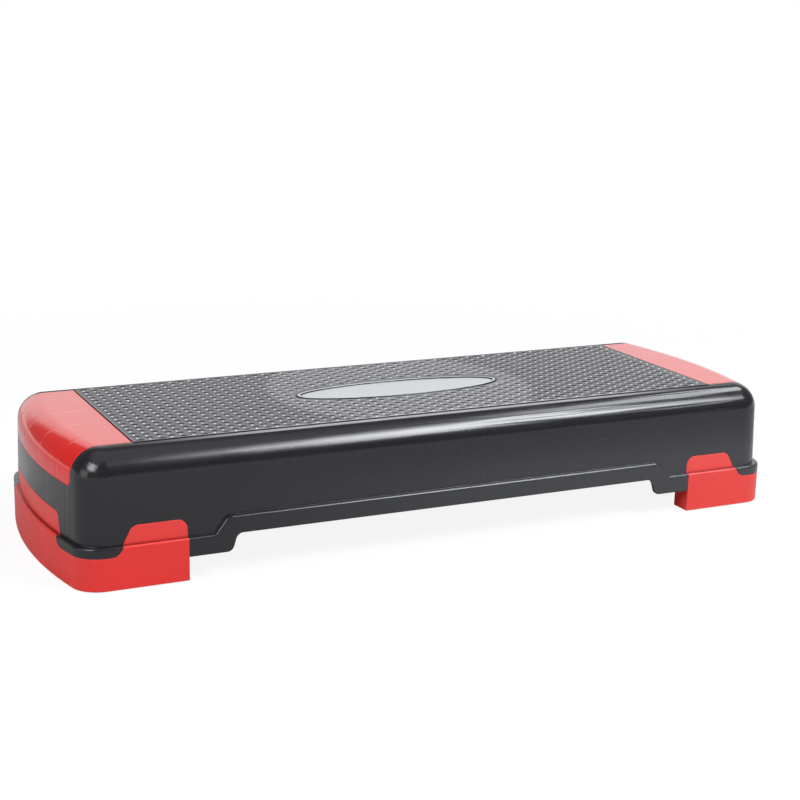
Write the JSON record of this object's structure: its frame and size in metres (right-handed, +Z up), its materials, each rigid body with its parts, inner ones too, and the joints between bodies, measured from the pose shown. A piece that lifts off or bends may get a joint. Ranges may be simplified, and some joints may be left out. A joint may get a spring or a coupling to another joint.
{
  "type": "aerobic step platform",
  "caption": "Low exercise step: black ribbed plastic deck with a studded tread, bare oval badge and red end caps, standing on red U-shaped risers that pull off to lower it.",
  "frame": {"origin": "on the floor under the middle of the platform", "axes": "+X along the length, +Y from front to back, +Z up through the tread"},
  "size_m": [0.78, 0.276, 0.128],
  "materials": {
    "deck_black": "satin moulded",
    "tread_grey": "studded matt",
    "badge_silver": "satin silver",
    "cap_red": "glossy moulded",
    "riser_red": "satin moulded",
    "screw_steel": "zinc plated",
    "pad_rubber": "matt"
  },
  "bodies": {
    "deck": {"deck_shell": "deck_black", "tread_mat": "tread_grey", "badge_plate": "badge_silver", "end_cap_left": "cap_red", "end_cap_right": "cap_red", "end_cap_screws_left": "screw_steel", "end_cap_screws_right": "screw_steel", "deck_pad_left_front": "pad_rubber", "deck_pad_left_back": "pad_rubber", "deck_pad_right_front": "pad_rubber", "deck_pad_right_back": "pad_rubber"},
    "riser_left": {"riser_left": "riser_red", "riser_pad_left_front_inner": "pad_rubber", "riser_pad_left_front_outer": "pad_rubber", "riser_pad_left_back_inner": "pad_rubber", "riser_pad_left_back_outer": "pad_rubber"},
    "riser_right": {"riser_right": "riser_red", "riser_pad_right_front_inner": "pad_rubber", "riser_pad_right_front_outer": "pad_rubber", "riser_pad_right_back_inner": "pad_rubber", "riser_pad_right_back_outer": "pad_rubber"}
  },
  "joints": [
    {"name": "riser_left_pull", "type": "slide", "parent": "deck", "child": "riser_left", "axis": [0, 0, -1], "range_m": [0, 0.06]},
    {"name": "riser_right_pull", "type": "slide", "parent": "deck", "child": "riser_right", "axis": [0, 0, -1], "range_m": [0, 0.06]}
  ]
}
